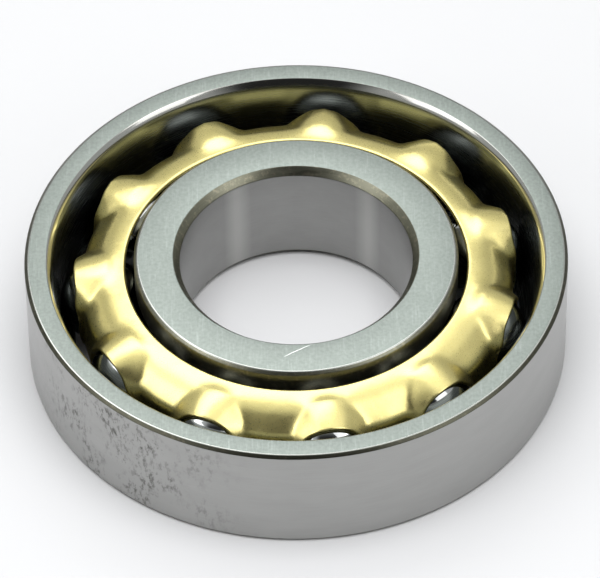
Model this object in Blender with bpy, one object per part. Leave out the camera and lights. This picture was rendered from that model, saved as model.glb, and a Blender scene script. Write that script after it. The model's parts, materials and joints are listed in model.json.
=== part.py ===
"""Separable (magneto type) ball bearing, 15 x 35 x 8 mm, lying on its shouldered side.

Frame: metres, +Z along the bore axis towards the open side, origin on the axis at mid width.
The outer ring has one shoulder, at the bottom, so it lifts off upwards. The inner ring has a
full groove. Eleven balls ride between them in a one-piece pressed brass cage.
"""
import math

import bmesh
import bpy
from mathutils import Matrix, Vector

MM = 0.001

# Boundary dimensions
BORE_RADIUS = 7.5 * MM
OUTER_RADIUS = 17.5 * MM
WIDTH = 8.0 * MM
HALF_WIDTH = WIDTH / 2

# Balls
BALL_COUNT = 11
BALL_RADIUS = 5.556 * MM / 2
PITCH_RADIUS = 12.55 * MM
FIRST_BALL_ANGLE = math.radians(180.0)
BALL_PITCH = 2 * math.pi / BALL_COUNT
RUNNING_GAP = 0.06 * MM

# Raceway grooves
GROOVE_RADIUS = 2.95 * MM
OUTER_RACE_RADIUS = PITCH_RADIUS + BALL_RADIUS + RUNNING_GAP
INNER_RACE_RADIUS = PITCH_RADIUS - BALL_RADIUS - RUNNING_GAP

# Outer ring
OUTER_SHOULDER_RADIUS = 14.5 * MM
OPEN_MOUTH_RADIUS = 16.08 * MM
MOUTH_DEPTHS = (0.0, 0.0925, 0.20, 0.60, 1.0)
MOUTH_SLOPES = (50.0, 66.0, 80.0, 84.5, 89.0)
OUTER_TOP_CHAMFER = 0.20 * MM
OUTER_BOTTOM_CHAMFER = 0.26 * MM
SHOULDER_CHAMFER = 0.30 * MM

# Inner ring
INNER_SHOULDER_RADIUS = 10.45 * MM
INNER_FACE_CHAMFER = 0.20 * MM
BORE_CHAMFER_RADIAL = 0.42 * MM
BORE_CHAMFER_AXIAL = 0.50 * MM

# Cage, described by the middle surface of its sheet
SHEET = 0.34 * MM
POCKET_GAP = 0.12 * MM
POCKET_RADIUS = BALL_RADIUS + POCKET_GAP + SHEET / 2
POCKET_MOUTH = math.radians(8.5)
RIM_RADIUS = 10.94 * MM
RIM_HEIGHT = 2.87 * MM
PRESS_BLEND = 0.25 * MM

# Cage between two balls: tilt of the sheet (degrees) at lengths from its rim
TROUGH_LENGTHS = (0.0, 0.5 * MM, 1.9 * MM, 2.85 * MM, 3.7 * MM, 7.0 * MM)
TROUGH_TILTS = (0.0, 6.0, 40.0, 43.0, 90.0, 90.0)
TIP_LENGTH = 6.2 * MM
FINGER_LENGTH = 3.4 * MM
FINGER_FADE = 0.8 * MM

# Cage over a ball: a shallow dome that ends in a square-cornered arch
CROWN_LENGTH = 3.30 * MM
CROWN_EDGE_RADIUS = 14.20 * MM
CROWN_TOP_RADIUS = 12.35 * MM
CROWN_TOP_HEIGHT = 3.10 * MM
CROWN_CURVE = 0.10 / MM
CROWN_DROP = 59.0 * MM
CROWN_DRAW = 5.9
CROWN_BLEND = 0.25 * MM
CROWN_ANGLE = math.radians(4.0)
CROWN_FADE = math.radians(9.0)
ARCH_SQUARENESS = 0.30

# Mesh fineness
RING_STEPS = 72
GROOVE_STEPS = 7
SHOULDER_STEPS = 4
MOUTH_STEPS = 8
PROFILE_STEPS = 200
BALL_SEGMENTS = 14
BALL_RINGS = 9
ARCH_COLUMNS = 5
TIP_COLUMNS = 2
SHEET_ROWS = 9
SMOOTH_ANGLE = math.radians(35.0)


def clear_scene():
    for item in list(bpy.data.objects):
        bpy.data.objects.remove(item, do_unlink=True)


def make_material(name, colour, roughness, metallic):
    material = bpy.data.materials.new(name)
    material.use_nodes = True
    shader = material.node_tree.nodes["Principled BSDF"]
    shader.inputs["Base Color"].default_value = (*colour, 1.0)
    shader.inputs["Roughness"].default_value = roughness
    shader.inputs["Metallic"].default_value = metallic
    return material


def make_object(name, mesh, material, parent=None):
    mesh.materials.clear()
    mesh.materials.append(material)
    item = bpy.data.objects.new(name, mesh)
    bpy.context.scene.collection.objects.link(item)
    item.parent = parent
    return item


def make_axis(name, location=(0.0, 0.0, 0.0), parent=None):
    axis = bpy.data.objects.new(name, None)
    axis.empty_display_size = PITCH_RADIUS
    axis.location = location
    bpy.context.scene.collection.objects.link(axis)
    axis.parent = parent
    return axis


def arc(centre, radius, start, end, steps):
    """Points of a circular arc in the (radius, height) plane, both ends included."""
    points = []
    for step in range(steps + 1):
        angle = start + (end - start) * step / steps
        across = centre[0] + radius * math.cos(angle)
        height = centre[1] + radius * math.sin(angle)
        points.append((across, height))
    return points


def turned_mesh(name, outline):
    """Closed (radius, height) outline turned once round the Z axis."""
    shape = bmesh.new()
    corners = [shape.verts.new((radius, 0.0, height)) for radius, height in outline]
    edges = []
    for index, corner in enumerate(corners):
        edges.append(shape.edges.new((corner, corners[(index + 1) % len(corners)])))
    bmesh.ops.spin(
        shape, geom=corners + edges, cent=(0, 0, 0), axis=(0, 0, 1), dvec=(0, 0, 0),
        angle=2 * math.pi, steps=RING_STEPS, use_merge=True, use_duplicate=False)
    bmesh.ops.recalc_face_normals(shape, faces=shape.faces)
    mesh = bpy.data.meshes.new(name)
    shape.to_mesh(mesh)
    shape.free()
    mesh.shade_smooth()
    mesh.set_sharp_from_angle(angle=SMOOTH_ANGLE)
    return mesh


def interpolate(value, places, results):
    """Straight-line reading of a short table."""
    for index in range(len(places) - 1):
        if value <= places[index + 1]:
            part = (value - places[index]) / (places[index + 1] - places[index])
            return results[index] + (results[index + 1] - results[index]) * part
    return results[-1]


def mouth_wall():
    """From the bottom of the groove up to the open face, flaring faster and faster."""
    flare = [0.0]
    for step in range(PROFILE_STEPS):
        depth = 1.0 - (step + 0.5) / PROFILE_STEPS
        slope = math.radians(interpolate(depth, MOUTH_DEPTHS, MOUTH_SLOPES))
        flare.append(flare[-1] + 1.0 / math.tan(slope))
    points = []
    for step in range(1, MOUTH_STEPS + 1):
        rise = 1.0 - (1.0 - step / MOUTH_STEPS) ** 2
        share = flare[round(rise * PROFILE_STEPS)] / flare[-1]
        across = OUTER_RACE_RADIUS + (OPEN_MOUTH_RADIUS - OUTER_RACE_RADIUS) * share
        points.append((across, HALF_WIDTH * rise))
    return points


def outer_ring_outline():
    """Shoulder at the bottom, groove, then a wall that flares out to the open mouth."""
    groove_centre = (OUTER_RACE_RADIUS - GROOVE_RADIUS, 0.0)
    shoulder_angle = math.acos((OUTER_SHOULDER_RADIUS - groove_centre[0]) / GROOVE_RADIUS)
    outline = [
        (OUTER_RADIUS - OUTER_TOP_CHAMFER, HALF_WIDTH),
        (OUTER_RADIUS, HALF_WIDTH - OUTER_TOP_CHAMFER),
        (OUTER_RADIUS, -HALF_WIDTH + OUTER_BOTTOM_CHAMFER),
        (OUTER_RADIUS - OUTER_BOTTOM_CHAMFER, -HALF_WIDTH),
        (OUTER_SHOULDER_RADIUS + SHOULDER_CHAMFER, -HALF_WIDTH),
        (OUTER_SHOULDER_RADIUS, -HALF_WIDTH + SHOULDER_CHAMFER),
    ]
    outline += arc(groove_centre, GROOVE_RADIUS, -shoulder_angle, 0.0, GROOVE_STEPS)
    outline += mouth_wall()
    return outline


def inner_ring_outline():
    """Plain bore with chamfers, two equal shoulders and a groove between them."""
    groove_centre = (INNER_RACE_RADIUS + GROOVE_RADIUS, 0.0)
    shoulder_angle = math.acos((groove_centre[0] - INNER_SHOULDER_RADIUS) / GROOVE_RADIUS)
    outline = [
        (BORE_RADIUS, HALF_WIDTH - BORE_CHAMFER_AXIAL),
        (BORE_RADIUS + BORE_CHAMFER_RADIAL, HALF_WIDTH),
        (INNER_SHOULDER_RADIUS - INNER_FACE_CHAMFER, HALF_WIDTH),
        (INNER_SHOULDER_RADIUS, HALF_WIDTH - INNER_FACE_CHAMFER),
    ]
    outline += arc(
        groove_centre, GROOVE_RADIUS, math.pi - shoulder_angle, math.pi + shoulder_angle,
        GROOVE_STEPS + SHOULDER_STEPS)
    outline += [
        (INNER_SHOULDER_RADIUS, -HALF_WIDTH + INNER_FACE_CHAMFER),
        (INNER_SHOULDER_RADIUS - INNER_FACE_CHAMFER, -HALF_WIDTH),
        (BORE_RADIUS + BORE_CHAMFER_RADIAL, -HALF_WIDTH),
        (BORE_RADIUS, -HALF_WIDTH + BORE_CHAMFER_AXIAL),
    ]
    return outline


def ball_centre(index):
    angle = FIRST_BALL_ANGLE + index * BALL_PITCH
    return Vector((PITCH_RADIUS * math.cos(angle), PITCH_RADIUS * math.sin(angle), 0.0))


def smooth_step(value):
    value = min(max(value, 0.0), 1.0)
    return value * value * (3.0 - 2.0 * value)


def trough_point(length):
    """(radius, height) between two balls: flat rim, straight slope, then the finger."""
    radius, height = RIM_RADIUS, RIM_HEIGHT
    stride = length / PROFILE_STEPS
    for step in range(PROFILE_STEPS):
        tilt = math.radians(interpolate((step + 0.5) * stride, TROUGH_LENGTHS, TROUGH_TILTS))
        radius += stride * math.cos(tilt)
        height -= stride * math.sin(tilt)
    return radius, height


def crown_point(angle, length):
    """(radius, height) over a ball: a dome that falls away to both sides and outwards."""
    share = length / CROWN_LENGTH
    radius = RIM_RADIUS + share * (CROWN_EDGE_RADIUS - RIM_RADIUS)
    height = CROWN_TOP_HEIGHT - CROWN_CURVE * (radius - CROWN_TOP_RADIUS) ** 2
    return radius - length * CROWN_DRAW * angle ** 2, height - share * CROWN_DROP * angle ** 2


def raised(base, other, amount):
    """Base lifted softly towards the larger of the two values."""
    rise = other - base
    return base + amount * (rise + math.hypot(rise, CROWN_BLEND)) / 2


def sheet_edge(column):
    """(angle from the ball, length from the rim) of the outer edge at one column of a pocket."""
    if column <= ARCH_COLUMNS:
        turn = math.pi / 2 * (1.0 - (1.0 - column / ARCH_COLUMNS) ** 2)
        drop = max(math.cos(turn), 0.0) ** ARCH_SQUARENESS if column < ARCH_COLUMNS else 0.0
        length = TIP_LENGTH - (TIP_LENGTH - CROWN_LENGTH) * drop
        return POCKET_MOUTH * math.sin(turn) ** (2 * ARCH_SQUARENESS), length
    part = (column - ARCH_COLUMNS) / TIP_COLUMNS
    return POCKET_MOUTH + (BALL_PITCH / 2 - POCKET_MOUTH) * part, TIP_LENGTH


def pressed_point(centre_angle, offset, length, near_balls):
    """A point of the sheet after the dies have pushed it clear of the balls."""
    radius, height = trough_point(length)
    crown_radius, crown_height = crown_point(abs(offset), length)
    amount = 1.0 - smooth_step((abs(offset) - CROWN_ANGLE) / CROWN_FADE)
    amount *= 1.0 - smooth_step((length - FINGER_LENGTH) / FINGER_FADE)
    radius = raised(radius, crown_radius, amount)
    height = raised(height, crown_height, amount)
    angle = centre_angle + offset
    plain = Vector((radius * math.cos(angle), radius * math.sin(angle), height))
    moved = plain.copy()
    for ball in near_balls:
        reach = plain - ball
        gap = reach.length - POCKET_RADIUS
        wanted = POCKET_RADIUS + (gap + math.hypot(gap, PRESS_BLEND)) / 2
        moved += reach.normalized() * (wanted - reach.length)
    return moved


def cage_mesh():
    """Middle surface of the sheet, one fan of columns on each side of every ball."""
    half = ARCH_COLUMNS + TIP_COLUMNS
    shape = bmesh.new()
    columns = []
    for pocket in range(BALL_COUNT):
        centre_angle = FIRST_BALL_ANGLE + pocket * BALL_PITCH
        near_balls = [ball_centre(pocket + offset) for offset in (-1, 0, 1)]
        for column in range(-half, half):
            side = -1.0 if column < 0 else 1.0
            edge_angle, edge_length = sheet_edge(abs(column))
            rim_angle = BALL_PITCH / 2 * abs(column) / half
            points = []
            for row in range(SHEET_ROWS + 1):
                part = row / SHEET_ROWS
                angle = rim_angle + (edge_angle - rim_angle) * smooth_step(part)
                point = pressed_point(
                    centre_angle, side * angle, edge_length * part, near_balls)
                points.append(shape.verts.new(point))
            columns.append(points)
    for index, points in enumerate(columns):
        following = columns[(index + 1) % len(columns)]
        for row in range(SHEET_ROWS):
            shape.faces.new((points[row], points[row + 1], following[row + 1], following[row]))
    mesh = bpy.data.meshes.new("cage")
    shape.to_mesh(mesh)
    shape.free()
    mesh.shade_smooth()
    return mesh


def add_sheet_thickness(cage):
    thickness = cage.modifiers.new("sheet", "SOLIDIFY")
    thickness.thickness = SHEET
    thickness.offset = 0.0
    thickness.use_even_offset = True


def ball_mesh():
    shape = bmesh.new()
    bmesh.ops.create_uvsphere(
        shape, u_segments=BALL_SEGMENTS, v_segments=BALL_RINGS, radius=BALL_RADIUS,
        matrix=Matrix.Identity(4))
    mesh = bpy.data.meshes.new("ball")
    shape.to_mesh(mesh)
    shape.free()
    mesh.shade_smooth()
    return mesh


def build_bearing():
    ring_steel = make_material("ground_ring_steel", (0.42, 0.44, 0.43), 0.38, 1.0)
    ball_steel = make_material("polished_ball_steel", (0.62, 0.62, 0.62), 0.08, 1.0)
    brass = make_material("pressed_brass", (0.80, 0.66, 0.34), 0.22, 1.0)

    make_object("outer_ring", turned_mesh("outer_ring", outer_ring_outline()), ring_steel)

    inner_axis = make_axis("inner_ring_axis")
    inner_mesh = turned_mesh("inner_ring", inner_ring_outline())
    make_object("inner_ring", inner_mesh, ring_steel, inner_axis)

    cage_axis = make_axis("cage_axis")
    cage = make_object("cage", cage_mesh(), brass, cage_axis)
    add_sheet_thickness(cage)

    shared_ball = ball_mesh()
    for index in range(BALL_COUNT):
        ball = make_object(f"ball_{index + 1:02d}", shared_ball, ball_steel, cage_axis)
        ball.location = ball_centre(index)


clear_scene()
build_bearing()
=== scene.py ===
import json
import math

import bmesh
import bpy
import numpy as np
from mathutils import Matrix, Vector


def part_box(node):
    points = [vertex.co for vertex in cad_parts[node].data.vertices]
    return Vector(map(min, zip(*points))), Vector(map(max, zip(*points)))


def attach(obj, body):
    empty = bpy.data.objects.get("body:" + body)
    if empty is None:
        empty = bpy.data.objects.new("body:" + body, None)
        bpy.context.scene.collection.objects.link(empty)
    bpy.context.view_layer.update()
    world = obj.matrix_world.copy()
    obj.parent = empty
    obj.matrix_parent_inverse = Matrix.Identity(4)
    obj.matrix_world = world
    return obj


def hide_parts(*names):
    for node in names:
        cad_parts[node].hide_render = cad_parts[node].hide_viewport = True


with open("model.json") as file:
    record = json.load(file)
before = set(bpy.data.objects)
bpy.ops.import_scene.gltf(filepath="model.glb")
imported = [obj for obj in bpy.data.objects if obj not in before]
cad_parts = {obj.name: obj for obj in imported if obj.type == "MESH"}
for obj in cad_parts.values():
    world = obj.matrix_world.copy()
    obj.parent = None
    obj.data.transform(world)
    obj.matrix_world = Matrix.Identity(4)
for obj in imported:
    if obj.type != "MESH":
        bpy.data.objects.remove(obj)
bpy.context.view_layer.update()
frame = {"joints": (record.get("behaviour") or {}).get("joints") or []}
MM = 0.001

# ---------------------------------------------------------------- sizes taken from the frame
ring_low, ring_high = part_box("outer_ring")
HALF_WIDTH = (ring_high.z - ring_low.z) / 2
OUTER_RADIUS = (ring_high.x - ring_low.x) / 2
BALL_NODES = [f"ball_{number:02d}" for number in range(1, 12)]
ball_boxes = [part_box(node) for node in BALL_NODES]
BALL_CENTRES = [(low + high) / 2 for low, high in ball_boxes]
BALL_RADIUS = (ball_boxes[0][1].z - ball_boxes[0][0].z) / 2
JOINTS = {joint["name"]: joint for joint in frame["joints"]}
for index, node in enumerate(BALL_NODES):
    BALL_CENTRES[index] = Vector(JOINTS[node + "_roll"]["pos_m"])
PITCH_RADIUS = BALL_CENTRES[0].xy.length
BALL_PITCH = 2 * math.pi / len(BALL_NODES)

# ---------------------------------------------------------------- sizes of the visible surfaces
# The main sizes are those of the CAD. The running gap, the groove and the sheet are finer than
# the faceted solids allow, and the rim of the cage is a little further out and higher.
BORE_RADIUS = 7.5 * MM
RUNNING_GAP = 0.02 * MM
GROOVE_RADIUS = 2.90 * MM
OUTER_RACE_RADIUS = PITCH_RADIUS + BALL_RADIUS + RUNNING_GAP
INNER_RACE_RADIUS = PITCH_RADIUS - BALL_RADIUS - RUNNING_GAP
OUTER_SHOULDER_RADIUS = 14.5 * MM
OPEN_MOUTH_RADIUS = 16.08 * MM
MOUTH_SLOPES = ((0.0, 50.0), (0.0925, 66.0), (0.20, 80.0), (0.60, 84.5), (1.0, 89.0))
OUTER_TOP_CHAMFER = 0.20 * MM
# Width and dip of the thin top band that carries the painted highlight.
HIGHLIGHT_BAND_WIDTH = 0.08 * MM
HIGHLIGHT_BAND_DEPTH = 0.02 * MM
OUTER_BOTTOM_CHAMFER = 0.26 * MM
SHOULDER_CHAMFER = 0.30 * MM
LEAD_IN_HEIGHT = 3.55 * MM
INNER_SHOULDER_RADIUS = 10.45 * MM
INNER_FACE_CHAMFER = 0.20 * MM
BORE_CHAMFER_RADIAL = 0.42 * MM
BORE_CHAMFER_AXIAL = 0.50 * MM
CORNER_ROUND = 0.06 * MM
SHARP_ABOVE = math.radians(35.0)

# Marks on the steel. The scratch and the coordinates of the node trees are in millimetres.
BORE_BANDS = (math.radians(50.8), math.radians(120.7))
BAND_EDGES = (0.02, 0.14)
BAND_STRENGTH = 0.6
SCRATCH_ANGLE = math.radians(30.6)
SCRATCH_OFFSET = -7.24
SCRATCH_MIDDLE = -4.32
SCRATCH_SIDES = (0.015, 0.045)
SCRATCH_ENDS = (0.55, 1.05)
SCRATCH_WAVER = 0.08
STAIN_STARTS = (-2.90, -2.55)
STAIN_ENDS = (-2.20, -1.75)
POLAR_RADIUS = 14.0

SHEET = 0.30 * MM
BALL_CLEARANCE = 0.06 * MM
POCKET_RADIUS = BALL_RADIUS + BALL_CLEARANCE + SHEET / 2
RIM_RADIUS = 11.18 * MM
RIM_HEIGHT = 3.06 * MM
RIM_ROLL = 0.02 * MM
RIM_ROLL_LENGTH = 1.0 * MM
TROUGH_LENGTHS = (0.0, 0.65 * MM, 1.75 * MM, 2.75 * MM, 3.45 * MM, 7.0 * MM)
TROUGH_TILTS = (7.0, 13.0, 37.0, 43.0, 90.0, 90.0)
TIP_LENGTH = 6.0 * MM
POCKET_MOUTH = math.radians(8.5)
CROWN_LENGTH = 3.05 * MM
CROWN_EDGE_RADIUS = 14.20 * MM
CROWN_TOP_RADIUS = 11.9 * MM
CROWN_TOP_HEIGHT = 3.04 * MM
CROWN_CURVE = 0.047 / MM
CROWN_DROP = 59.0 * MM
CROWN_DRAW = 5.9
CROWN_BLEND = 0.18 * MM
CROWN_ANGLE = math.radians(4.0)
CROWN_FADE = math.radians(9.0)
FINGER_LENGTH = 3.15 * MM
FINGER_FADE = 0.8 * MM
FINGER_PILLOW = 0.10 * MM
CREASE = 0.26 * MM
DISH_BLEND = 0.24 * MM
RIM_BLEND = 0.06 * MM
BLEND_LENGTHS = (0.0, 1.0 * MM, 2.2 * MM, 3.0 * MM)
CROWN_START = 1.3 * MM
CORNER_POWER = 0.25
PILLOW_START = 1.1 * MM
PILLOW_RISE = 2.2 * MM
LOWER_RISE = 1.2 * MM
LAST_BLEND = 0.02 * MM
EDGE_SETTLES = 1.6
TROUGH_SAMPLES = 1401
FINGER_CORNER = 0.14 * MM
RIM_CORNER = 0.15 * MM

RING_STEPS = 288
ARCH_COLUMNS = 30
TIP_COLUMNS = 8
SHEET_ROWS = 48
OUTER_GROOVE_STEPS = 24
INNER_GROOVE_STEPS = 32
MOUTH_STEPS = 40
BALL_SUBDIVISIONS = 5


# ---------------------------------------------------------------- node helpers
class Nodes:
    """A short way to write a material's node tree."""

    def __init__(self, name):
        self.material = bpy.data.materials.new(name)
        self.material.use_nodes = True
        self.tree = self.material.node_tree
        self.shader = self.tree.nodes["Principled BSDF"]

    def add(self, kind, settings=None, **inputs):
        node = self.tree.nodes.new(kind)
        for key, value in (settings or {}).items():
            setattr(node, key, value)
        for key, value in inputs.items():
            self.feed(node.inputs[key.replace("_", " ")], value)
        return node

    def feed(self, socket, value):
        if isinstance(value, bpy.types.NodeSocket):
            self.tree.links.new(value, socket)
        else:
            socket.default_value = value

    def place(self, scale=(1.0, 1.0, 1.0), turn=(0.0, 0.0, 0.0)):
        """The piece's own coordinates, in millimetres times the scale."""
        source = self.add("ShaderNodeTexCoord").outputs["Object"]
        mapping = self.add("ShaderNodeMapping")
        mapping.inputs["Scale"].default_value = [value / MM for value in scale]
        mapping.inputs["Rotation"].default_value = turn
        self.feed(mapping.inputs["Vector"], source)
        return mapping.outputs["Vector"]

    def polar(self, around=1.0, along=1.0, outward=1.0):
        """Coordinates that follow the ring: arc length, height and radius in millimetres."""
        source = self.add("ShaderNodeTexCoord").outputs["Object"]
        split = self.add("ShaderNodeSeparateXYZ", Vector=source)
        angle = self.math("ARCTAN2", split.outputs["Y"], split.outputs["X"])
        square = self.math(
            "ADD", self.math("POWER", split.outputs["X"], 2.0),
            self.math("POWER", split.outputs["Y"], 2.0))
        radius = self.math("SQRT", square, 0.0)
        joined = self.add("ShaderNodeCombineXYZ")
        self.feed(joined.inputs["X"], self.math("MULTIPLY", angle, POLAR_RADIUS * around))
        self.feed(joined.inputs["Y"], self.math("MULTIPLY", split.outputs["Z"], along / MM))
        self.feed(joined.inputs["Z"], self.math("MULTIPLY", radius, outward / MM))
        return joined.outputs["Vector"]

    def math(self, operation, first, second, clamp=False):
        node = self.add("ShaderNodeMath", {"operation": operation, "use_clamp": clamp})
        self.feed(node.inputs[0], first)
        self.feed(node.inputs[1], second)
        return node.outputs[0]

    def noise(self, vector, scale, detail=4.0, roughness=0.55, distortion=0.0):
        node = self.add(
            "ShaderNodeTexNoise", Vector=vector, Scale=scale, Detail=detail,
            Roughness=roughness, Distortion=distortion)
        return node.outputs["Fac"]

    def span(self, value, low, high, to_low=0.0, to_high=1.0):
        node = self.add("ShaderNodeMapRange", {"clamp": True}, Value=value)
        for key, number in zip(("From Min", "From Max", "To Min", "To Max"),
                               (low, high, to_low, to_high)):
            node.inputs[key].default_value = number
        return node.outputs["Result"]

    def mix(self, factor, first, second):
        node = self.add("ShaderNodeMix", {"data_type": "RGBA"})
        self.feed(node.inputs["Factor"], factor)
        self.feed(node.inputs[6], first)
        self.feed(node.inputs[7], second)
        return node.outputs[2]

    def bump(self, height, distance, strength=1.0, normal=None):
        node = self.add("ShaderNodeBump", Height=height, Distance=distance, Strength=strength)
        if normal is not None:
            self.feed(node.inputs["Normal"], normal)
        return node.outputs["Normal"]

    def finish(self, colour, roughness, metallic=1.0, normal=None):
        self.feed(self.shader.inputs["Base Color"], colour)
        self.feed(self.shader.inputs["Roughness"], roughness)
        self.shader.inputs["Metallic"].default_value = metallic
        if normal is not None:
            self.feed(self.shader.inputs["Normal"], normal)
        return self.material


def rgb(red, green, blue):
    return (red, green, blue, 1.0)


# ---------------------------------------------------------------- materials
def scratch_lines(nodes, turn, fineness, stretch, low, high):
    """Thin straight scratches in one direction: noise stretched along them."""
    place = nodes.place((fineness, fineness / stretch, fineness), (0.0, 0.0, turn))
    return nodes.span(nodes.noise(place, 1.0, 3.0, 0.6), low, high)


def long_scratch(nodes):
    """One deep scratch across the upper face of the inner ring."""
    source = nodes.place((1.0, 1.0, 1.0), (0.0, 0.0, -SCRATCH_ANGLE))
    split = nodes.add("ShaderNodeSeparateXYZ", Vector=source)
    waver = nodes.math("MULTIPLY", nodes.noise(source, 2.0, 2.0), SCRATCH_WAVER)
    off = nodes.math("ADD", nodes.math("SUBTRACT", split.outputs["Y"], SCRATCH_OFFSET), waver)
    thin = nodes.span(nodes.math("ABSOLUTE", off, 0.0), *SCRATCH_SIDES, 1.0, 0.0)
    along = nodes.math("SUBTRACT", split.outputs["X"], SCRATCH_MIDDLE)
    ends = nodes.span(nodes.math("ABSOLUTE", along, 0.0), *SCRATCH_ENDS, 1.0, 0.0)
    upper = nodes.math("GREATER_THAN", split.outputs["Z"], 0.0)
    return nodes.math("MULTIPLY", upper, nodes.math("MULTIPLY", thin, ends))


def shade(colour, brightness):
    return rgb(*[value * brightness for value in colour])


def ground_face_steel(name, brightness, scratched=False):
    """Flat ring faces: satin ground steel, mottled, with short scratches in every direction."""
    nodes = Nodes(name)
    fine = nodes.noise(nodes.place(), 9.0, 6.0, 0.7)
    cloud = nodes.noise(nodes.place(), 0.55, 3.0, 0.5)
    scratches = scratch_lines(nodes, 0.0, 7.0, 16.0, 0.60, 0.75)
    for turn, fineness in ((0.7, 6.0), (1.5, 8.0), (2.3, 7.0), (2.9, 5.0)):
        lines = scratch_lines(nodes, turn, fineness, 18.0, 0.60, 0.75)
        scratches = nodes.math("MAXIMUM", scratches, lines)
    speckle = nodes.noise(nodes.place(), 4.5, 2.0, 0.6)
    colour = nodes.mix(cloud, shade((0.285, 0.320, 0.296), brightness),
                       shade((0.345, 0.384, 0.356), brightness))
    colour = nodes.mix(nodes.span(speckle, 0.35, 0.65, 0.0, 0.5), colour,
                       shade((0.44, 0.49, 0.45), brightness))
    colour = nodes.mix(
        nodes.math("MULTIPLY", scratches, 0.12), colour, rgb(0.56, 0.60, 0.58))
    rough = nodes.math("ADD", nodes.span(fine, 0.3, 0.7, 0.30, 0.40),
                       nodes.math("MULTIPLY", scratches, -0.06))
    height = nodes.math("ADD", fine, nodes.math("MULTIPLY", scratches, -0.25))
    if scratched:
        line = long_scratch(nodes)
        colour = nodes.mix(line, colour, rgb(0.86, 0.88, 0.86))
        height = nodes.math("SUBTRACT", height, nodes.math("MULTIPLY", line, 2.0))
    return nodes.finish(colour, rough, 1.0, nodes.bump(height, 0.004 * MM, 1.0))


def polished_lead_in_steel():
    """The flared top of the open mouth, where the ring is lapped bright."""
    nodes = Nodes("polished_lead_in_steel")
    lines = nodes.noise(nodes.polar(0.25, 10.0, 6.0), 1.0, 3.0, 0.6)
    colour = nodes.mix(lines, rgb(0.44, 0.44, 0.42), rgb(0.54, 0.53, 0.50))
    return nodes.finish(colour, nodes.span(lines, 0.3, 0.7, 0.09, 0.15), 1.0)


def painted_highlight_edge_steel():
    """The narrow rounded edges of the rings: a painted highlight in a brighter colour."""
    nodes = Nodes("painted_highlight_edge_steel")
    lines = nodes.noise(nodes.polar(0.5, 8.0, 8.0), 1.0, 3.0, 0.6)
    colour = nodes.mix(lines, rgb(0.34, 0.35, 0.33), rgb(0.52, 0.53, 0.50))
    return nodes.finish(colour, nodes.span(lines, 0.3, 0.7, 0.18, 0.28), 1.0)


def handling_marks(nodes):
    """Speckled stain on one part of the outside wall."""
    source = nodes.add("ShaderNodeTexCoord").outputs["Object"]
    split = nodes.add("ShaderNodeSeparateXYZ", Vector=source)
    angle = nodes.math("ARCTAN2", split.outputs["Y"], split.outputs["X"])
    start = nodes.span(angle, *STAIN_STARTS)
    end = nodes.span(angle, *STAIN_ENDS, 1.0, 0.0)
    spots = nodes.noise(nodes.place((1.0, 1.0, 0.55)), 2.6, 6.0, 0.72)
    patches = nodes.span(nodes.noise(nodes.place(), 0.35, 2.0, 0.5), 0.40, 0.60)
    marks = nodes.math("MULTIPLY", nodes.span(spots, 0.50, 0.62), patches)
    return nodes.math("MULTIPLY", marks, nodes.math("MULTIPLY", start, end))


def honed_bands(nodes):
    """Two brighter bands that run along the bore."""
    source = nodes.add("ShaderNodeTexCoord").outputs["Object"]
    split = nodes.add("ShaderNodeSeparateXYZ", Vector=source)
    angle = nodes.math("ARCTAN2", split.outputs["Y"], split.outputs["X"])
    bands = 0.0
    for place in BORE_BANDS:
        off = nodes.math("ABSOLUTE", nodes.math("SUBTRACT", angle, place), 0.0)
        bands = nodes.math("MAXIMUM", nodes.span(off, *BAND_EDGES, 1.0, 0.0), bands)
    return bands


def ground_wall_steel(name, brightness, in_bore=False):
    """Outside or bore: grinding lines that run round the ring, with a stain or bright bands."""
    nodes = Nodes(name)
    lines = nodes.noise(nodes.polar(0.35, 22.0, 0.0), 1.0, 4.0, 0.65)
    fine = nodes.noise(nodes.place(), 11.0, 5.0, 0.7)
    cloud = nodes.noise(nodes.polar(0.35, 0.9, 0.0), 1.0, 3.0, 0.5)
    colour = nodes.mix(cloud, shade((0.33, 0.33, 0.32), brightness),
                       shade((0.40, 0.40, 0.39), brightness))
    colour = nodes.mix(nodes.span(lines, 0.35, 0.65, 0.0, 0.3), colour,
                       shade((0.47, 0.47, 0.46), brightness))
    if in_bore:
        colour = nodes.mix(nodes.math("MULTIPLY", honed_bands(nodes), BAND_STRENGTH), colour,
                           rgb(0.52, 0.52, 0.50))
    else:
        colour = nodes.mix(handling_marks(nodes), colour, rgb(0.12, 0.12, 0.11))
    rough = nodes.span(lines, 0.3, 0.7, 0.30, 0.42)
    height = nodes.math("ADD", nodes.math("MULTIPLY", lines, 1.0),
                        nodes.math("MULTIPLY", fine, 0.5))
    return nodes.finish(colour, rough, 1.0, nodes.bump(height, 0.006 * MM, 1.0))


def polished_race_steel():
    """Raceways and the inside of the open mouth: polished, with faint lines round the ring."""
    nodes = Nodes("polished_race_steel")
    lines = nodes.noise(nodes.polar(0.25, 16.0, 6.0), 1.0, 3.0, 0.6)
    colour = nodes.mix(lines, rgb(0.115, 0.125, 0.115), rgb(0.155, 0.165, 0.155))
    rough = nodes.span(lines, 0.3, 0.7, 0.22, 0.30)
    return nodes.finish(colour, rough, 1.0, nodes.bump(lines, 0.002 * MM, 1.0))


def turned_chamfer_steel(name, brightness):
    """Chamfers: turned before hardening, darker and faintly brown; a low brightness paints shade
    into the colour.
    """
    nodes = Nodes(name)
    lines = nodes.noise(nodes.polar(0.4, 14.0, 14.0), 1.0, 4.0, 0.6)
    spots = nodes.noise(nodes.place(), 3.0, 4.0, 0.7)
    colour = nodes.mix(lines, shade((0.14, 0.14, 0.10), brightness),
                       shade((0.26, 0.255, 0.20), brightness))
    colour = nodes.mix(nodes.span(spots, 0.52, 0.66), colour,
                       shade((0.30, 0.28, 0.21), brightness))
    rough = nodes.span(lines, 0.3, 0.7, 0.28, 0.42)
    return nodes.finish(colour, rough, 1.0, nodes.bump(lines, 0.004 * MM, 1.0))


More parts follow.
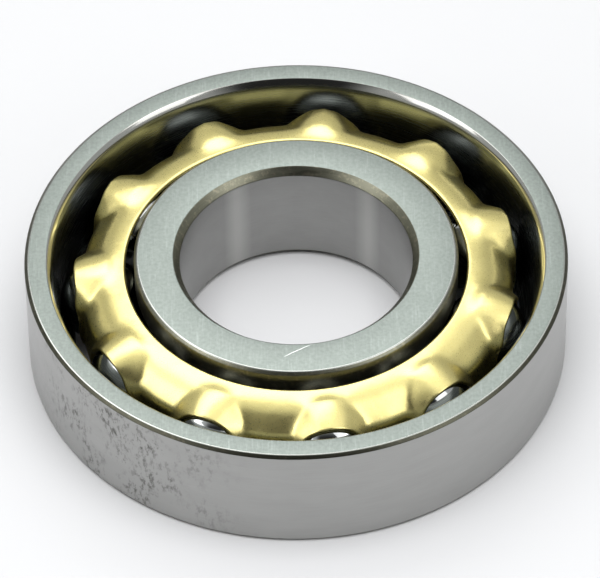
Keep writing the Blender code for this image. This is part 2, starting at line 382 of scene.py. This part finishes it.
def pressed_brass():
    """Cage sheet: polished, with the faint waviness of a pressing."""
    nodes = Nodes("pressed_brass")
    wave = nodes.noise(nodes.place(), 0.9, 2.0, 0.5)
    fine = nodes.noise(nodes.place(), 10.0, 5.0, 0.65)
    colour = nodes.mix(wave, rgb(0.75, 0.65, 0.26), rgb(0.80, 0.695, 0.30))
    rough = nodes.span(fine, 0.3, 0.7, 0.26, 0.32)
    height = nodes.math("ADD", nodes.math("MULTIPLY", wave, 6.0), nodes.math("MULTIPLY", fine, 0.3))
    return nodes.finish(colour, rough, 1.0, nodes.bump(height, 0.003 * MM, 1.0))


def polished_ball_steel():
    """Balls: close to a mirror."""
    nodes = Nodes("polished_ball_steel")
    fine = nodes.noise(nodes.place(), 6.0, 4.0, 0.6)
    colour = nodes.mix(fine, rgb(0.44, 0.45, 0.45), rgb(0.52, 0.53, 0.53))
    rough = nodes.span(fine, 0.3, 0.7, 0.04, 0.08)
    return nodes.finish(colour, rough, 1.0)


# ---------------------------------------------------------------- turned rings
def arc(centre, radius, start, end, steps):
    """Points (radius, height) of a circular arc."""
    points = []
    for step in range(steps + 1):
        angle = start + (end - start) * step / steps
        points.append((centre[0] + radius * math.cos(angle),
                       centre[1] + radius * math.sin(angle)))
    return points


def mouth_wall(race_radius, steps):
    """From the bottom of the groove up to the open face, flaring faster and faster."""
    depths, slopes = zip(*MOUTH_SLOPES)
    flare = [0.0]
    for step in range(steps):
        slope = math.radians(np.interp(1.0 - (step + 0.5) / steps, depths, slopes))
        flare.append(flare[-1] + 1.0 / math.tan(slope))
    points = []
    for step in range(steps + 1):
        radius = race_radius + (OPEN_MOUTH_RADIUS - race_radius) * flare[step] / flare[-1]
        points.append((radius, HALF_WIDTH * step / steps))
    return points


def eased(points, radius, steps=4):
    """The corners of an outline rounded with a small radius."""
    result = []
    count = len(points)
    for index, (point, finish, ease) in enumerate(points):
        here = Vector(point)
        before = Vector(points[index - 1][0]) - here
        after = Vector(points[(index + 1) % count][0]) - here
        if not ease:
            result.append((tuple(here), finish))
            continue
        size = min(radius, before.length * 0.45, after.length * 0.45)
        first = here + before.normalized() * size
        last = here + after.normalized() * size
        for step in range(steps + 1):
            part = step / steps
            spot = first.lerp(here, part).lerp(here.lerp(last, part), part)
            after_middle = finish if part >= 0.5 else points[index - 1][1]
            # BRIGHT corners get the painted highlight colour on the first half of their rounding.
            painted_highlight = ease is BRIGHT and step < steps
            result.append((tuple(spot), EDGE if painted_highlight else after_middle))
    return result


def turned_object(name, outline, materials):
    """outline: ((radius, height), finish) pairs; finish is the material from there on."""
    mesh = bpy.data.meshes.new(name)
    shape = bmesh.new()
    rings = []
    for step in range(RING_STEPS):
        angle = 2 * math.pi * step / RING_STEPS
        cosine, sine = math.cos(angle), math.sin(angle)
        rings.append([shape.verts.new((radius * cosine, radius * sine, height))
                      for (radius, height), _ in outline])
    for step, ring in enumerate(rings):
        following = rings[(step + 1) % RING_STEPS]
        for index, (_, finish) in enumerate(outline):
            after = (index + 1) % len(outline)
            face = shape.faces.new((ring[index], following[index], following[after], ring[after]))
            face.material_index = finish
    bmesh.ops.recalc_face_normals(shape, faces=shape.faces)
    shape.to_mesh(mesh)
    shape.free()
    for material in materials:
        mesh.materials.append(material)
    mesh.shade_smooth()
    mesh.set_sharp_from_angle(angle=SHARP_ABOVE)
    item = bpy.data.objects.new(name, mesh)
    bpy.context.scene.collection.objects.link(item)
    return item


FACE, WALL, RACE, CHAMFER, EDGE, SHADED_CHAMFER, LEAD_IN = range(7)
# BRIGHT marks corners whose rounding is painted with the highlight colour.
SHARP, PLAIN, BRIGHT = False, "plain", "bright"


def outer_ring_outline():
    groove_centre = (OUTER_RACE_RADIUS - GROOVE_RADIUS, 0.0)
    shoulder_angle = math.acos((OUTER_SHOULDER_RADIUS - groove_centre[0]) / GROOVE_RADIUS)
    points = [
        # Thin band at the top outer corner: painted highlight.
        ((OUTER_RADIUS - OUTER_TOP_CHAMFER - HIGHLIGHT_BAND_WIDTH, HALF_WIDTH), EDGE, PLAIN),
        # Top outer chamfer: chamfer steel darkened as painted shade.
        ((OUTER_RADIUS - OUTER_TOP_CHAMFER, HALF_WIDTH - HIGHLIGHT_BAND_DEPTH), SHADED_CHAMFER, PLAIN),
        ((OUTER_RADIUS, HALF_WIDTH - OUTER_TOP_CHAMFER), WALL, PLAIN),
        ((OUTER_RADIUS, -HALF_WIDTH + OUTER_BOTTOM_CHAMFER), CHAMFER, PLAIN),
        ((OUTER_RADIUS - OUTER_BOTTOM_CHAMFER, -HALF_WIDTH), FACE, BRIGHT),
        ((OUTER_SHOULDER_RADIUS + SHOULDER_CHAMFER, -HALF_WIDTH), CHAMFER, BRIGHT),
        ((OUTER_SHOULDER_RADIUS, -HALF_WIDTH + SHOULDER_CHAMFER), RACE, PLAIN),
    ]
    groove = arc(groove_centre, GROOVE_RADIUS, -shoulder_angle, 0.0, OUTER_GROOVE_STEPS)
    points.append((groove[0], RACE, PLAIN))
    points += [(point, RACE, SHARP) for point in groove[1:]]
    wall = mouth_wall(groove[-1][0], MOUTH_STEPS)
    for point in wall[1:-1]:
        finish = LEAD_IN if point[1] > LEAD_IN_HEIGHT else RACE
        points.append((point, finish, SHARP))
    points.append((wall[-1], FACE, PLAIN))
    return eased(points, CORNER_ROUND)


def inner_ring_outline():
    groove_centre = (INNER_RACE_RADIUS + GROOVE_RADIUS, 0.0)
    shoulder_angle = math.acos((groove_centre[0] - INNER_SHOULDER_RADIUS) / GROOVE_RADIUS)
    points = [
        ((BORE_RADIUS, HALF_WIDTH - BORE_CHAMFER_AXIAL), CHAMFER, PLAIN),
        ((BORE_RADIUS + BORE_CHAMFER_RADIAL, HALF_WIDTH), FACE, PLAIN),
        ((INNER_SHOULDER_RADIUS - INNER_FACE_CHAMFER, HALF_WIDTH), CHAMFER, BRIGHT),
        ((INNER_SHOULDER_RADIUS, HALF_WIDTH - INNER_FACE_CHAMFER), CHAMFER, PLAIN),
    ]
    groove = arc(groove_centre, GROOVE_RADIUS, math.pi - shoulder_angle,
                 math.pi + shoulder_angle, INNER_GROOVE_STEPS)
    points.append((groove[0], RACE, PLAIN))
    points += [(point, RACE, SHARP) for point in groove[1:-1]]
    points.append((groove[-1], CHAMFER, PLAIN))
    points += [
        ((INNER_SHOULDER_RADIUS, -HALF_WIDTH + INNER_FACE_CHAMFER), CHAMFER, PLAIN),
        ((INNER_SHOULDER_RADIUS - INNER_FACE_CHAMFER, -HALF_WIDTH), FACE, BRIGHT),
        ((BORE_RADIUS + BORE_CHAMFER_RADIAL, -HALF_WIDTH), CHAMFER, BRIGHT),
        ((BORE_RADIUS, -HALF_WIDTH + BORE_CHAMFER_AXIAL), WALL, PLAIN),
    ]
    return eased(points, CORNER_ROUND)


# ---------------------------------------------------------------- pressed cage
def smooth_step(value):
    value = np.clip(value, 0.0, 1.0)
    return value * value * (3.0 - 2.0 * value)


def trough_profile(length):
    """(radius, height) between two balls: flat rim, straight slope, then the finger."""
    fine = np.linspace(0.0, TROUGH_LENGTHS[-1], TROUGH_SAMPLES)
    tilt = np.radians(np.interp(fine, TROUGH_LENGTHS, TROUGH_TILTS))
    step = fine[1] - fine[0]
    across = np.concatenate([[0.0], np.cumsum(np.cos(tilt[:-1])) * step])
    down = np.concatenate([[0.0], np.cumsum(np.sin(tilt[:-1])) * step])
    return RIM_RADIUS + np.interp(length, fine, across), RIM_HEIGHT - np.interp(length, fine, down)


def pressed(distance, wanted, blend):
    """Distance from a ball after pressing: at least the wanted one, with a soft change."""
    gap = distance - wanted
    return wanted + (gap + np.hypot(gap, blend)) / 2


def press_across(radius, height, angle, blend):
    """Lifts sheet points clear of their ball within their own radial plane."""
    offset = PITCH_RADIUS * np.sin(angle)
    room = np.sqrt(np.maximum(POCKET_RADIUS ** 2 - offset ** 2, 0.0))
    across = radius - PITCH_RADIUS * np.cos(angle)
    distance = np.hypot(across, height)
    scale = pressed(distance, room, blend) / distance
    return PITCH_RADIUS * np.cos(angle) + across * scale, height * scale


def press_round(points, centres, blend):
    """Moves sheet points straight away from the balls until they are clear."""
    moved = points.copy()
    for centre in centres:
        reach = points - np.array(centre)
        distance = np.linalg.norm(reach, axis=-1, keepdims=True)
        moved += reach / distance * (pressed(distance, POCKET_RADIUS, blend) - distance)
    return moved


def sheet_points(centre_angle, side, angle, length, near):
    """Middle surface at angles from a ball and lengths from the rim."""
    radius, height = trough_profile(length)
    height = height - RIM_ROLL * np.clip(1.0 - length / RIM_ROLL_LENGTH, 0.0, 1.0) ** 2
    share = length / CROWN_LENGTH
    crown_radius = RIM_RADIUS + share * (CROWN_EDGE_RADIUS - RIM_RADIUS)
    crown_height = CROWN_TOP_HEIGHT - CROWN_CURVE * (crown_radius - CROWN_TOP_RADIUS) ** 2
    crown_height = crown_height - share * CROWN_DROP * angle ** 2
    crown_radius = crown_radius - length * CROWN_DRAW * angle ** 2
    crown = 1.0 - smooth_step((angle - CROWN_ANGLE) / CROWN_FADE)
    crown *= 1.0 - smooth_step((length - FINGER_LENGTH) / FINGER_FADE)
    crown *= smooth_step(length / CROWN_START)
    rise = crown_height - height
    height = height + crown * (rise + np.hypot(rise, CROWN_BLEND)) / 2
    reach = crown_radius - radius
    radius = radius + crown * (reach + np.hypot(reach, CROWN_BLEND)) / 2
    half_pitch = BALL_PITCH / 2
    pillow = np.clip((angle - POCKET_MOUTH) / (half_pitch - POCKET_MOUTH), 0.0, 1.0)
    bulge = (np.sin(pillow * math.pi / 2) - 1.0) * FINGER_PILLOW * (1.0 - crown)
    radius = radius + bulge * smooth_step((length - PILLOW_START) / PILLOW_RISE)
    blend = np.interp(length, BLEND_LENGTHS, (RIM_BLEND, DISH_BLEND, DISH_BLEND, CREASE))
    flat_radius, flat_height = press_across(radius, height, angle, blend)
    spot = centre_angle + side * angle
    flat = np.stack([flat_radius * np.cos(spot), flat_radius * np.sin(spot), flat_height], -1)
    loose = np.stack([radius * np.cos(spot), radius * np.sin(spot), height], -1)
    rounded = press_round(loose, near, blend[:, None])
    lower = smooth_step((length - CROWN_LENGTH) / LOWER_RISE)[:, None]
    return press_round(flat + (rounded - flat) * lower, near, LAST_BLEND)


def cage_surface():
    """Grid of the sheet's middle surface: [column, row] points all the way round."""
    half = ARCH_COLUMNS + TIP_COLUMNS
    rows = np.arange(SHEET_ROWS + 1) / SHEET_ROWS
    columns = []
    for pocket, centre in enumerate(BALL_CENTRES):
        centre_angle = math.atan2(centre.y, centre.x)
        near = [BALL_CENTRES[(pocket + offset) % len(BALL_CENTRES)] for offset in (-1, 0, 1)]
        for column in range(-half, half):
            side = -1.0 if column < 0 else 1.0
            rim_angle = BALL_PITCH / 2 * abs(column) / half
            spread = min(abs(column) / ARCH_COLUMNS, 1.0)
            turn = math.pi / 2 * (1.0 - (1.0 - spread) ** 2)
            drop = max(math.cos(turn), 0.0) ** CORNER_POWER
            edge_length = TIP_LENGTH - (TIP_LENGTH - CROWN_LENGTH) * drop
            edge_angle = POCKET_MOUTH * math.sin(turn) ** (2 * CORNER_POWER)
            if abs(column) > ARCH_COLUMNS:
                part = (abs(column) - ARCH_COLUMNS) / TIP_COLUMNS
                edge_angle += (BALL_PITCH / 2 - POCKET_MOUTH) * part
            angle = rim_angle + (edge_angle - rim_angle) * smooth_step(rows * EDGE_SETTLES)
            columns.append(sheet_points(centre_angle, side, angle, edge_length * rows, near))
    return np.array(columns)


def unit(vectors):
    return vectors / np.linalg.norm(vectors, axis=-1, keepdims=True)


def cage_object(material):
    """The sheet with its thickness and rounded edges, as one closed surface."""
    middle = cage_surface()
    along = np.gradient(middle, axis=1)
    around = np.roll(middle, -1, axis=0) - np.roll(middle, 1, axis=0)
    normals = unit(np.cross(around, along))
    if normals[0, 0, 2] < 0:
        normals = -normals
    half = SHEET / 2
    loops = [middle + normals * half]
    strips = [(middle[:, -1], unit(along[:, -1]), normals[:, -1], FINGER_CORNER)]
    strips.append((middle[:, 0], unit(-along[:, 0]), normals[:, 0], RIM_CORNER))

    def edge_strip(spot, outward, normal, corner, steps=4):
        side = unit(np.cross(np.roll(spot, -1, axis=0) - np.roll(spot, 1, axis=0), normal))
        side = np.where((side * outward).sum(-1, keepdims=True) < 0, -side, side)
        lines = []
        for turn in np.linspace(0, math.pi / 2, steps + 1)[1:]:
            lines.append(spot + side * corner * math.sin(turn)
                         + normal * (half - corner + corner * math.cos(turn)))
        for turn in np.linspace(math.pi / 2, 0, steps + 1)[:-1]:
            lines.append(spot + side * corner * math.sin(turn)
                         - normal * (half - corner + corner * math.cos(turn)))
        return np.stack(lines, axis=1)

    outer_strip = edge_strip(*strips[0])
    rim_strip = edge_strip(*strips[1])[:, ::-1]
    lower = (middle - normals * half)[:, ::-1]
    loop = np.concatenate([loops[0], outer_strip, lower, rim_strip], axis=1)
    column_count, loop_count = loop.shape[:2]
    vertices = loop.reshape(-1, 3)
    faces = []
    for column in range(column_count):
        following = (column + 1) % column_count
        for index in range(loop_count):
            after = (index + 1) % loop_count
            faces.append((column * loop_count + index, following * loop_count + index,
                          following * loop_count + after, column * loop_count + after))
    mesh = bpy.data.meshes.new("brass_cage")
    mesh.from_pydata(vertices.tolist(), [], faces)
    shape = bmesh.new()
    shape.from_mesh(mesh)
    bmesh.ops.recalc_face_normals(shape, faces=shape.faces)
    shape.to_mesh(mesh)
    shape.free()
    mesh.materials.append(material)
    mesh.shade_smooth()
    item = bpy.data.objects.new("brass_cage", mesh)
    bpy.context.scene.collection.objects.link(item)
    return item


# ---------------------------------------------------------------- balls
def ball_object(number, centre, material):
    shape = bmesh.new()
    bmesh.ops.create_icosphere(shape, subdivisions=BALL_SUBDIVISIONS, radius=BALL_RADIUS)
    mesh = bpy.data.meshes.new(f"steel_ball_{number:02d}")
    shape.to_mesh(mesh)
    shape.free()
    mesh.materials.append(material)
    mesh.shade_smooth()
    item = bpy.data.objects.new(f"steel_ball_{number:02d}", mesh)
    bpy.context.scene.collection.objects.link(item)
    item.location = centre
    return item


# ---------------------------------------------------------------- the bearing
def build_bearing():
    """Every CAD piece is replaced by a finer one that rides on the same body."""
    finishes = [
        ground_face_steel("outer_face_steel", 0.59),
        ground_wall_steel("ground_outside_steel", 1.0),
        polished_race_steel(),
        turned_chamfer_steel("turned_chamfer_steel", 1.0),
        # Rounded edges: brighter steel as a painted highlight.
        painted_highlight_edge_steel(),
        # The top outer chamfer at 0.40 brightness: painted shade, darker than the other chamfers.
        turned_chamfer_steel("painted_shade_chamfer_steel", 0.40),
        polished_lead_in_steel(),
    ]
    outer = turned_object("ground_outer_ring", outer_ring_outline(), finishes)
    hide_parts("outer_ring")
    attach(outer, "outer_ring")

    finishes[WALL] = ground_wall_steel("honed_bore_steel", 0.82, True)
    finishes[FACE] = ground_face_steel("inner_face_steel", 0.64, True)
    inner = turned_object("ground_inner_ring", inner_ring_outline(), finishes)
    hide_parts("inner_ring")
    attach(inner, "inner_ring")

    cage = cage_object(pressed_brass())
    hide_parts("cage")
    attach(cage, "cage")

    ball_finish = polished_ball_steel()
    for number, (node, centre) in enumerate(zip(BALL_NODES, BALL_CENTRES), 1):
        ball = ball_object(number, centre, ball_finish)
        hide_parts(node)
        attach(ball, node)


# ---------------------------------------------------------------- stage, lights and camera
ROOM_LIGHT = 0.52
ROOM_TOP = 0.45
FRONT_WIDTH = 0.60
FRONT_SHADE = 0.95
FLOOR_HALF_SIZE = 0.6
CAMERA_ELEVATION = math.radians(46.8365)
CAMERA_ROLL = math.radians(-0.9436)
CAMERA_DISTANCE = 20.0996 * OUTER_RADIUS
CAMERA_TARGET = (0.0124 * OUTER_RADIUS, -0.1784 * OUTER_RADIUS, HALF_WIDTH)
CAMERA_LENS = 330.0
CAMERA_SENSOR = 36.0


def stage_floor():
    bpy.ops.mesh.primitive_plane_add(size=2 * FLOOR_HALF_SIZE, location=(0, 0, -HALF_WIDTH))
    floor = bpy.context.object
    floor.name = "floor"
    nodes = Nodes("pale_floor")
    nodes.finish(rgb(0.355, 0.355, 0.362), 0.65, 0.0)
    floor.data.materials.append(nodes.material)


def soft_light(name, place, size, brightness, in_reflections=True):
    """A rectangular soft light that faces the bearing; brightness is its radiance."""
    data = bpy.data.lights.new(name, "AREA")
    data.shape = "RECTANGLE"
    data.size, data.size_y = size
    data.energy = brightness * math.pi * size[0] * size[1]
    light = bpy.data.objects.new(name, data)
    bpy.context.scene.collection.objects.link(light)
    light.location = place
    light.visible_glossy = in_reflections
    light.visible_camera = False
    light.rotation_euler = (-Vector(place)).to_track_quat("-Z", "Y").to_euler()


def studio_world():
    """A pale room, a little brighter overhead, with a dark place in front."""
    world = bpy.data.worlds.new("studio")
    bpy.context.scene.world = world
    world.use_nodes = True
    tree = world.node_tree
    background = tree.nodes["Background"]
    direction = tree.nodes.new("ShaderNodeTexCoord").outputs["Generated"]

    def feed(socket, value):
        if isinstance(value, bpy.types.NodeSocket):
            tree.links.new(value, socket)
        else:
            socket.default_value = value

    def combine(operation, first, second):
        node = tree.nodes.new("ShaderNodeMath")
        node.operation = operation
        feed(node.inputs[0], first)
        feed(node.inputs[1], second)
        return node.outputs[0]

    def rise(value, low, high, amount=1.0):
        node = tree.nodes.new("ShaderNodeMapRange")
        node.interpolation_type = "SMOOTHSTEP"
        feed(node.inputs["Value"], value)
        for key, number in zip(("From Min", "From Max", "To Min", "To Max"),
                               (low, high, 0.0, amount)):
            node.inputs[key].default_value = number
        return node.outputs["Result"]

    split = tree.nodes.new("ShaderNodeSeparateXYZ")
    feed(split.inputs[0], direction)
    side, depth, height = split.outputs
    top = combine("POWER", combine("MAXIMUM", height, 0.0), 3.0)
    light = combine("ADD", ROOM_LIGHT, combine("MULTIPLY", top, ROOM_TOP))
    front = combine("MULTIPLY", rise(combine("MULTIPLY", depth, -1.0), 0.10, 0.62),
                    rise(combine("SUBTRACT", FRONT_WIDTH, combine("ABSOLUTE", side, 0.0)),
                         0.0, 0.28))
    shade = combine("SUBTRACT", 1.0, combine("MULTIPLY", front, FRONT_SHADE))
    background.inputs["Color"].default_value = (0.97, 1.0, 0.985, 1.0)
    feed(background.inputs["Strength"], combine("MULTIPLY", light, shade))


def long_camera():
    """Long lens, looking down along +Y, turned a little about its own axis."""
    back = Vector((0.0, -math.cos(CAMERA_ELEVATION), math.sin(CAMERA_ELEVATION)))
    right = Vector((1.0, 0.0, 0.0))
    up = back.cross(right)
    turned_right = right * math.cos(CAMERA_ROLL) + up * math.sin(CAMERA_ROLL)
    turned_up = up * math.cos(CAMERA_ROLL) - right * math.sin(CAMERA_ROLL)
    place = Vector(CAMERA_TARGET) + back * CAMERA_DISTANCE
    data = bpy.data.cameras.new("camera")
    data.sensor_width = CAMERA_SENSOR
    data.sensor_fit = "HORIZONTAL"
    data.lens = CAMERA_LENS
    data.clip_start = 0.01
    camera = bpy.data.objects.new("camera", data)
    bpy.context.scene.collection.objects.link(camera)
    camera.matrix_world = Matrix((
        (turned_right.x, turned_up.x, back.x, place.x),
        (turned_right.y, turned_up.y, back.y, place.y),
        (turned_right.z, turned_up.z, back.z, place.z),
        (0.0, 0.0, 0.0, 1.0)))
    bpy.context.scene.camera = camera


build_bearing()
stage_floor()
studio_world()
soft_light("overhead_left", (-0.030, 0.060, 0.12), (0.13, 0.074), 2.3)
soft_light("overhead_wide", (0.05, 0.07, 0.21), (0.26, 0.20), 0.42)
soft_light("side_left", (-0.17, -0.02, 0.18), (0.12, 0.14), 1.2)
soft_light("side_left_low", (-0.19, -0.085, 0.12), (0.13, 0.13), 1.8)
soft_light("side_right", (0.14, -0.08, 0.17), (0.14, 0.15), 1.5)
soft_light("side_right_low", (0.19, -0.12, 0.11), (0.10, 0.10), 1.5)
soft_light("fill_top", (0.0, -0.08, 0.44), (0.35, 0.35), 9.0, in_reflections=False)
soft_light("fill_left", (-0.32, -0.32, 0.28), (0.30, 0.30), 1.2, in_reflections=False)
soft_light("fill_right", (0.32, -0.32, 0.28), (0.30, 0.30), 1.2, in_reflections=False)
long_camera()
bpy.context.scene.view_settings.view_transform = "Standard"
